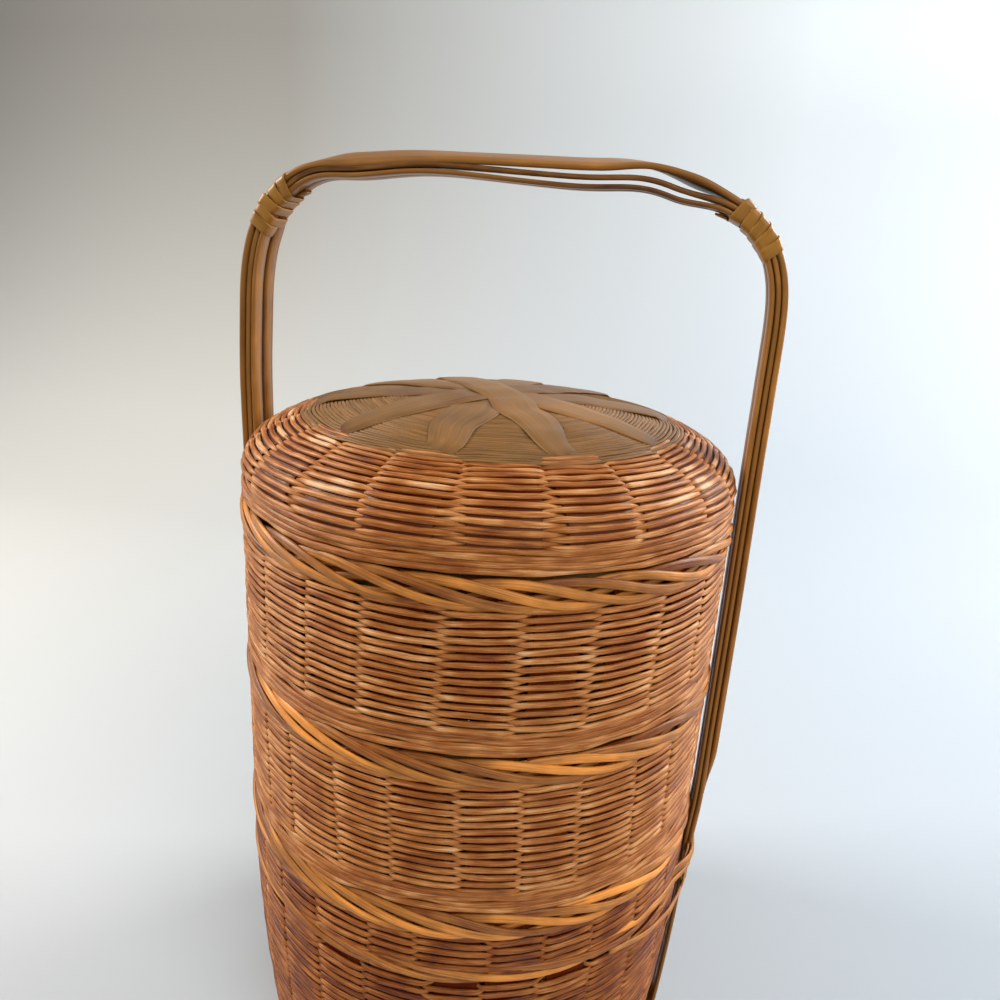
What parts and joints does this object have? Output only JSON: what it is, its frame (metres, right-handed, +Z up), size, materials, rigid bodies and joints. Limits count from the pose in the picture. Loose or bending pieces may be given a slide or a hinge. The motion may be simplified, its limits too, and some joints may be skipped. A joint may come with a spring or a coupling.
{
  "type": "tiered food basket",
  "caption": "Round woven bamboo food carrier: a deep basket and shallow tiers stack under a domed lid inside an arched laminated hoop handle that passes under the base.",
  "frame": {"origin": "centre of the basket's footprint, on the surface that it stands on", "axes": "+Z up along the stack, the hoop handle lies in the XZ plane, +X through its right leg"},
  "size_m": [0.1726, 0.1606, 0.3068],
  "materials": {
    "woven_rattan": "round rattan core, woven and lightly varnished",
    "border_rattan": "thick rattan strands, varnished",
    "waling_rattan": "thick rattan strands, varnished",
    "fine_weave": "fine bamboo strands, close weave",
    "bamboo_splits": "flat bamboo splits, dull satin",
    "bamboo_hoops": "flat bamboo strip, satin",
    "handle_bamboo": "heat-bent bamboo strips, varnished",
    "binding_split": "flat cane split, glossy"
  },
  "bodies": {
    "bottom_basket": {"bottom_wall": "woven_rattan", "bottom_stakes": "bamboo_splits", "bottom_floor": "fine_weave", "bottom_foot_ring": "bamboo_hoops", "bottom_collar": "bamboo_hoops", "bottom_border_strand_1": "border_rattan", "bottom_border_strand_2": "border_rattan", "bottom_border_strand_3": "border_rattan", "bottom_waling_lower": "waling_rattan", "bottom_waling_upper": "waling_rattan", "handle_outer_strip": "handle_bamboo", "handle_middle_strip": "handle_bamboo", "handle_inner_strip_front": "handle_bamboo", "handle_inner_strip_back": "handle_bamboo", "handle_binding_left": "binding_split", "handle_binding_right": "binding_split"},
    "lower_tier": {"lower_tier_wall": "woven_rattan", "lower_tier_stakes": "bamboo_splits", "lower_tier_floor": "fine_weave", "lower_tier_foot_hoop": "bamboo_hoops", "lower_tier_collar": "bamboo_hoops", "lower_tier_border_strand_1": "border_rattan", "lower_tier_border_strand_2": "border_rattan", "lower_tier_border_strand_3": "border_rattan"},
    "upper_tier": {"upper_tier_wall": "woven_rattan", "upper_tier_stakes": "bamboo_splits", "upper_tier_floor": "fine_weave", "upper_tier_foot_hoop": "bamboo_hoops", "upper_tier_collar": "bamboo_hoops", "upper_tier_border_strand_1": "border_rattan", "upper_tier_border_strand_2": "border_rattan", "upper_tier_border_strand_3": "border_rattan"},
    "lid": {"lid_wall": "woven_rattan", "lid_crown": "fine_weave", "lid_stakes": "bamboo_splits"}
  },
  "joints": [
    {"name": "lower_tier_lift", "type": "slide", "parent": "bottom_basket", "child": "lower_tier", "axis": [0, 0, 1], "range_m": [0, 0.018]},
    {"name": "upper_tier_lift", "type": "slide", "parent": "lower_tier", "child": "upper_tier", "axis": [0, 0, 1], "range_m": [0, 0.018]},
    {"name": "lid_lift", "type": "slide", "parent": "upper_tier", "child": "lid", "axis": [0, 0, 1], "range_m": [0, 0.018]}
  ]
}
